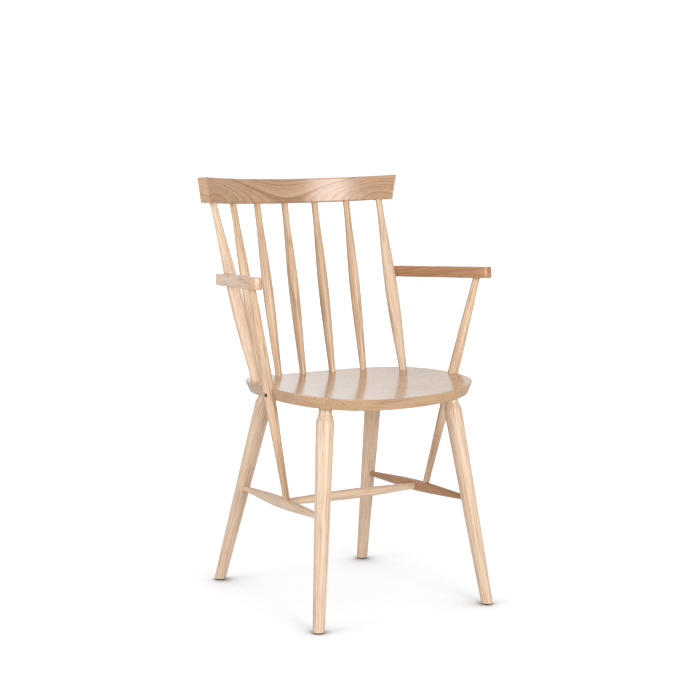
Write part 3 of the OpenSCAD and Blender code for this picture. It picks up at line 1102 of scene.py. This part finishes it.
@dataclass(frozen=True)
class Studio:
    """A white floor, a white surround, soft lamps and the camera."""

    camera_place: tuple[float, float, float] = (-1.7572, -2.9417, 0.9344)
    camera_turn: float = -31.14
    camera_dip: float = -7.116
    lens: float = 86.25
    ambient: float = 0.46
    floor_white: float = 0.5
    floor_glow: float = 0.62
    floor_bounce: float = 0.8
    shadow_reach: float = 0.2
    shadow_depth: float = 0.05
    plane_half: float = 30.0
    dome_radius: float = 40.0
    white: float = 1.05
    boxes: tuple[Softbox, ...] = (
        Softbox("front_box", (-0.05, -3.5, 1.25), (0.0, 0.0, 0.55), (1.5, 1.5), 76.0),
        Softbox("top_box", (0.2, 0.0, 3.2), (0.0, 0.0, 0.4), (2.4, 2.4), 18.0),
        Softbox("side_box", (-3.1, 0.2, 1.3), (0.0, 0.0, 0.5), (1.8, 1.8), 42.0),
    )

    def build(self) -> None:
        """Builds the studio."""
        for box in self.boxes:
            box.hang()
        self._floor()
        self._surround()
        self._world()
        self._camera()
        scene = bpy.context.scene
        scene.view_settings.view_transform = "Standard"
        LOG.info("studio has %d lamps", len(self.boxes))

    def _floor(self) -> None:
        """Adds the floor that the camera sees, whose glow is dimmed near the chair as painted contact shadow, and
        under it the one that throws light back on the chair.
        """
        seen = self._plane("floor", 0.0)
        graph = self._material(seen, "floor_white")
        paint = graph.add("ShaderNodeBsdfDiffuse", {"Color": (self.floor_white,) * 3 + (1.0,)}).outputs[0]
        place = graph.add("ShaderNodeTexCoord").outputs["Object"]
        # Glow that rises away from the chair, so the floor reads evenly white where the lamps fall off.
        open_glow = graph.spread(graph.vector("LENGTH", place), 0.55, 2.0, self.floor_glow, self.white)
        # Painted contact shadow: ambient occlusion within shadow_reach of the chair dims the floor's glow, down to
        # shadow_depth of it.
        painted_contact_shadow = graph.add("ShaderNodeAmbientOcclusion", {"Distance": self.shadow_reach}, samples=24).outputs["AO"]
        glow_with_painted_shadow = graph.math("MULTIPLY", open_glow, graph.spread(painted_contact_shadow, 0.6, 0.99, self.shadow_depth, 1.0))
        glow = graph.add("ShaderNodeEmission", {"Color": (1.0, 1.0, 1.0, 1.0), "Strength": glow_with_painted_shadow}).outputs[0]
        both = graph.add("ShaderNodeAddShader", {0: paint, 1: glow}).outputs[0]
        graph.add("ShaderNodeOutputMaterial", {"Surface": both})
        seen.visible_diffuse = seen.visible_glossy = seen.visible_shadow = False
        bounce = self._plane("floor_bounce", -0.001)
        graph = self._material(bounce, "floor_bounce")
        paint = graph.add("ShaderNodeBsdfDiffuse", {"Color": (self.floor_bounce,) * 3 + (1.0,)}).outputs[0]
        graph.add("ShaderNodeOutputMaterial", {"Surface": paint})
        bounce.visible_camera = bounce.visible_shadow = False

    def _plane(self, name: str, height: float) -> bpy.types.Object:
        """Adds a wide level plane to the stage."""
        mesh = bpy.data.meshes.new(name)
        far = self.plane_half
        corners = [(-far, -far, height), (far, -far, height), (far, far, height), (-far, far, height)]
        mesh.from_pydata(corners, [], [(0, 1, 2, 3)])
        plane = bpy.data.objects.new(name, mesh)
        bpy.context.scene.collection.objects.link(plane)
        return plane

    def _material(self, thing: bpy.types.Object, name: str) -> Graph:
        """Gives a stage object an empty material and returns its nodes."""
        material = bpy.data.materials.new(name)
        material.use_nodes = True
        thing.data.materials.append(material)
        return Graph(material.node_tree)

    def _surround(self) -> None:
        """Adds a white surround that only the camera sees, and a white wall behind that reflections see too."""
        material = bpy.data.materials.new("surround_white")
        material.use_nodes = True
        graph = Graph(material.node_tree)
        glow = graph.add("ShaderNodeEmission", {"Color": (1.0, 1.0, 1.0, 1.0), "Strength": self.white}).outputs[0]
        graph.add("ShaderNodeOutputMaterial", {"Surface": glow})
        shell = bmesh.new()
        bmesh.ops.create_uvsphere(shell, u_segments=48, v_segments=24, radius=self.dome_radius)
        mesh = bpy.data.meshes.new("surround")
        shell.to_mesh(mesh)
        shell.free()
        mesh.materials.append(material)
        dome = bpy.data.objects.new("surround", mesh)
        bpy.context.scene.collection.objects.link(dome)
        dome.visible_diffuse = dome.visible_glossy = dome.visible_transmission = dome.visible_shadow = False
        wall = bpy.data.meshes.new("back_wall")
        wall.from_pydata([(-1.2, 4.5, 0.0), (5.6, 3.2, 0.0), (5.6, 3.2, 3.6), (-1.2, 4.5, 3.6)], [], [(0, 1, 2, 3)])
        wall.materials.append(material)
        panel = bpy.data.objects.new("back_wall", wall)
        bpy.context.scene.collection.objects.link(panel)
        panel.visible_camera = panel.visible_diffuse = panel.visible_shadow = False

    def _world(self) -> None:
        """Sets the even light from all round."""
        world = bpy.data.worlds.new("studio")
        world.use_nodes = True
        graph = Graph(world.node_tree)
        sky = graph.add("ShaderNodeBackground", {"Color": (1.0, 1.0, 1.0, 1.0), "Strength": self.ambient}).outputs[0]
        graph.add("ShaderNodeOutputWorld", {"Surface": sky})
        bpy.context.scene.world = world

    def _camera(self) -> None:
        """Adds the camera."""
        lens = bpy.data.cameras.new("camera")
        lens.lens = self.lens
        lens.sensor_width = 36.0
        lens.clip_end = 200.0
        camera = bpy.data.objects.new("camera", lens)
        turn, dip = math.radians(self.camera_turn), math.radians(self.camera_dip)
        way = Vector((-math.sin(turn) * math.cos(dip), math.cos(turn) * math.cos(dip), math.sin(dip)))
        camera.location = self.camera_place
        camera.rotation_euler = way.to_track_quat("-Z", "Y").to_euler()
        bpy.context.scene.collection.objects.link(camera)
        bpy.context.scene.camera = camera


def main() -> None:
    """Builds the chair's looks and the studio."""
    logging.basicConfig(level=logging.INFO, format="%(message)s")
    tree = TurnedPieceTree()
    for assembly in (Underframe(tree), SeatBoard(tree), Back(tree), Arms(tree), Fixings(tree)):
        assembly.build()
    Studio().build()


if __name__ == "__main__":
    main()
